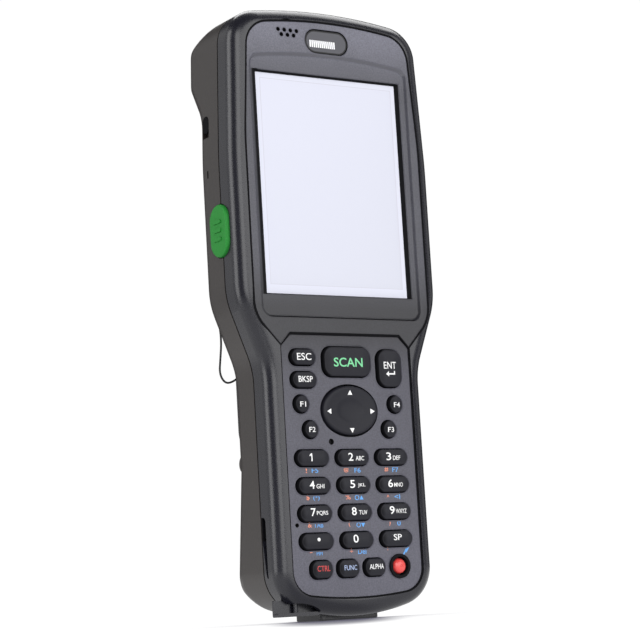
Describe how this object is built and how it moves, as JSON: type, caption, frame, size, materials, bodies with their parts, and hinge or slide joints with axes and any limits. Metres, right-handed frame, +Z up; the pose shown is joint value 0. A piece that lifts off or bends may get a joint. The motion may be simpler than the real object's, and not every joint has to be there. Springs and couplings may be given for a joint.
{
  "type": "portable barcode data terminal",
  "caption": "Hand-held barcode data terminal with a pale touch display, a keypad with a direction pad, side triggers, a rear hand strap, a stylus and a dock foot.",
  "frame": {"origin": "on the surface it stands on, under the middle of its width and depth", "axes": "+Z up along its length, -Y out of the display, +X to the right of someone who looks at the display"},
  "size_m": [0.0816, 0.0462, 0.2038],
  "materials": {
    "shell": "fine textured moulding",
    "rear_shell": "fine textured moulding",
    "face_plate": "satin grey moulding",
    "lens_black": "gloss",
    "screen_glass": "pale unlit display behind glass",
    "key_rubber": "matte silicone",
    "power_red": "matte silicone",
    "trigger_green": "satin moulding",
    "seal_black": "matte",
    "metal": "brushed",
    "light_metal": "bare",
    "board_green": "solder mask",
    "contact_gold": "plated",
    "cell_wrap": "wrapped cell pack",
    "webbing": "woven nylon",
    "pad_fabric": "knitted padding",
    "cord_black": "braided cord",
    "scan_red": "tinted window",
    "foot_black": "hard moulding"
  },
  "bodies": {
    "root": {"battery_pack": "cell_wrap", "display_bezel": "face_plate", "dock_contacts": "contact_gold", "dock_foot": "foot_black", "door_hinge_pin": "metal", "earpiece": "light_metal", "front_housing": "shell", "hand_strap": "webbing", "housing_screws": "metal", "housing_seal": "seal_black", "indicator_lens": "lens_black", "key_membrane": "seal_black", "keypad_board": "board_green", "keypad_plate": "face_plate", "lcd_carrier": "foot_black", "lcd_module": "light_metal", "main_board": "board_green", "microphone": "light_metal", "rear_housing": "rear_shell", "scan_engine": "light_metal", "scan_window": "scan_red", "side_switches": "metal", "strap_bars": "metal", "strap_lugs": "rear_shell", "strap_pad": "pad_fabric", "stylus_sleeve": "foot_black", "tether_cord": "cord_black", "tether_eyelets": "metal", "touch_panel": "screen_glass"},
    "trigger_left": {"trigger_left": "trigger_green"},
    "trigger_right": {"trigger_right": "trigger_green"},
    "battery_door": {"battery_door": "rear_shell"},
    "port_plug": {"port_plug": "seal_black"},
    "stylus": {"stylus": "foot_black"},
    "nav_pivot": {"nav_pivot": "metal"},
    "nav_pad": {"nav_pad": "key_rubber"},
    "key_esc": {"key_esc": "key_rubber"},
    "key_bksp": {"key_bksp": "key_rubber"},
    "key_scan": {"key_scan": "key_rubber"},
    "key_enter": {"key_enter": "key_rubber"},
    "key_f1": {"key_f1": "key_rubber"},
    "key_f2": {"key_f2": "key_rubber"},
    "key_f3": {"key_f3": "key_rubber"},
    "key_f4": {"key_f4": "key_rubber"},
    "key_1": {"key_1": "key_rubber"},
    "key_2": {"key_2": "key_rubber"},
    "key_3": {"key_3": "key_rubber"},
    "key_4": {"key_4": "key_rubber"},
    "key_5": {"key_5": "key_rubber"},
    "key_6": {"key_6": "key_rubber"},
    "key_7": {"key_7": "key_rubber"},
    "key_8": {"key_8": "key_rubber"},
    "key_9": {"key_9": "key_rubber"},
    "key_point": {"key_point": "key_rubber"},
    "key_0": {"key_0": "key_rubber"},
    "key_space": {"key_space": "key_rubber"},
    "key_ctrl": {"key_ctrl": "key_rubber"},
    "key_func": {"key_func": "key_rubber"},
    "key_alpha": {"key_alpha": "key_rubber"},
    "key_power": {"key_power": "power_red"}
  },
  "joints": [
    {"name": "trigger_left_press", "type": "slide", "parent": "root", "child": "trigger_left", "axis": [1, 0, 0], "range_m": [0, 0.0008], "stiffness_N_per_m": 900},
    {"name": "trigger_right_press", "type": "slide", "parent": "root", "child": "trigger_right", "axis": [-1, 0, 0], "range_m": [0, 0.0008], "stiffness_N_per_m": 900},
    {"name": "battery_door_hinge", "type": "hinge", "parent": "root", "child": "battery_door", "pos_m": [0, 0.00587, 0.01888], "axis": [-1, 0, 0], "range_deg": [0, 95]},
    {"name": "port_plug_hinge", "type": "hinge", "parent": "root", "child": "port_plug", "pos_m": [-0.03861, -0.0038, 0.1622], "axis": [0, -1, 0], "range_deg": [0, 100]},
    {"name": "stylus_draw", "type": "slide", "parent": "root", "child": "stylus", "axis": [0, 0, 1], "range_m": [0, 0.06]},
    {"name": "nav_tilt_up_down", "type": "hinge", "parent": "root", "child": "nav_pivot", "pos_m": [0, -0.0169, 0.0678], "axis": [1, 0, 0], "range_deg": [-2, 2], "stiffness_Nm_per_rad": 0.4},
    {"name": "nav_tilt_left_right", "type": "hinge", "parent": "nav_pivot", "child": "nav_pad", "pos_m": [0, -0.0169, 0.0678], "axis": [0, 0, 1], "range_deg": [-2, 2], "stiffness_Nm_per_rad": 0.4},
    {"name": "key_esc_press", "type": "slide", "parent": "root", "child": "key_esc", "axis": [0, 1, 0], "range_m": [0, 0.0008], "stiffness_N_per_m": 600},
    {"name": "key_bksp_press", "type": "slide", "parent": "root", "child": "key_bksp", "axis": [0, 1, 0], "range_m": [0, 0.0008], "stiffness_N_per_m": 600},
    {"name": "key_scan_press", "type": "slide", "parent": "root", "child": "key_scan", "axis": [0, 1, 0], "range_m": [0, 0.0008], "stiffness_N_per_m": 600},
    {"name": "key_enter_press", "type": "slide", "parent": "root", "child": "key_enter", "axis": [0, 1, 0], "range_m": [0, 0.0008], "stiffness_N_per_m": 600},
    {"name": "key_f1_press", "type": "slide", "parent": "root", "child": "key_f1", "axis": [0, 1, 0], "range_m": [0, 0.0008], "stiffness_N_per_m": 600},
    {"name": "key_f2_press", "type": "slide", "parent": "root", "child": "key_f2", "axis": [0, 1, 0], "range_m": [0, 0.0008], "stiffness_N_per_m": 600},
    {"name": "key_f3_press", "type": "slide", "parent": "root", "child": "key_f3", "axis": [0, 1, 0], "range_m": [0, 0.0008], "stiffness_N_per_m": 600},
    {"name": "key_f4_press", "type": "slide", "parent": "root", "child": "key_f4", "axis": [0, 1, 0], "range_m": [0, 0.0008], "stiffness_N_per_m": 600},
    {"name": "key_1_press", "type": "slide", "parent": "root", "child": "key_1", "axis": [0, 1, 0], "range_m": [0, 0.0008], "stiffness_N_per_m": 600},
    {"name": "key_2_press", "type": "slide", "parent": "root", "child": "key_2", "axis": [0, 1, 0], "range_m": [0, 0.0008], "stiffness_N_per_m": 600},
    {"name": "key_3_press", "type": "slide", "parent": "root", "child": "key_3", "axis": [0, 1, 0], "range_m": [0, 0.0008], "stiffness_N_per_m": 600},
    {"name": "key_4_press", "type": "slide", "parent": "root", "child": "key_4", "axis": [0, 1, 0], "range_m": [0, 0.0008], "stiffness_N_per_m": 600},
    {"name": "key_5_press", "type": "slide", "parent": "root", "child": "key_5", "axis": [0, 1, 0], "range_m": [0, 0.0008], "stiffness_N_per_m": 600},
    {"name": "key_6_press", "type": "slide", "parent": "root", "child": "key_6", "axis": [0, 1, 0], "range_m": [0, 0.0008], "stiffness_N_per_m": 600},
    {"name": "key_7_press", "type": "slide", "parent": "root", "child": "key_7", "axis": [0, 1, 0], "range_m": [0, 0.0008], "stiffness_N_per_m": 600},
    {"name": "key_8_press", "type": "slide", "parent": "root", "child": "key_8", "axis": [0, 1, 0], "range_m": [0, 0.0008], "stiffness_N_per_m": 600},
    {"name": "key_9_press", "type": "slide", "parent": "root", "child": "key_9", "axis": [0, 1, 0], "range_m": [0, 0.0008], "stiffness_N_per_m": 600},
    {"name": "key_point_press", "type": "slide", "parent": "root", "child": "key_point", "axis": [0, 1, 0], "range_m": [0, 0.0008], "stiffness_N_per_m": 600},
    {"name": "key_0_press", "type": "slide", "parent": "root", "child": "key_0", "axis": [0, 1, 0], "range_m": [0, 0.0008], "stiffness_N_per_m": 600},
    {"name": "key_space_press", "type": "slide", "parent": "root", "child": "key_space", "axis": [0, 1, 0], "range_m": [0, 0.0008], "stiffness_N_per_m": 600},
    {"name": "key_ctrl_press", "type": "slide", "parent": "root", "child": "key_ctrl", "axis": [0, 1, 0], "range_m": [0, 0.0008], "stiffness_N_per_m": 600},
    {"name": "key_func_press", "type": "slide", "parent": "root", "child": "key_func", "axis": [0, 1, 0], "range_m": [0, 0.0008], "stiffness_N_per_m": 600},
    {"name": "key_alpha_press", "type": "slide", "parent": "root", "child": "key_alpha", "axis": [0, 1, 0], "range_m": [0, 0.0008], "stiffness_N_per_m": 600},
    {"name": "key_power_press", "type": "slide", "parent": "root", "child": "key_power", "axis": [0, 1, 0], "range_m": [0, 0.0008], "stiffness_N_per_m": 600}
  ]
}
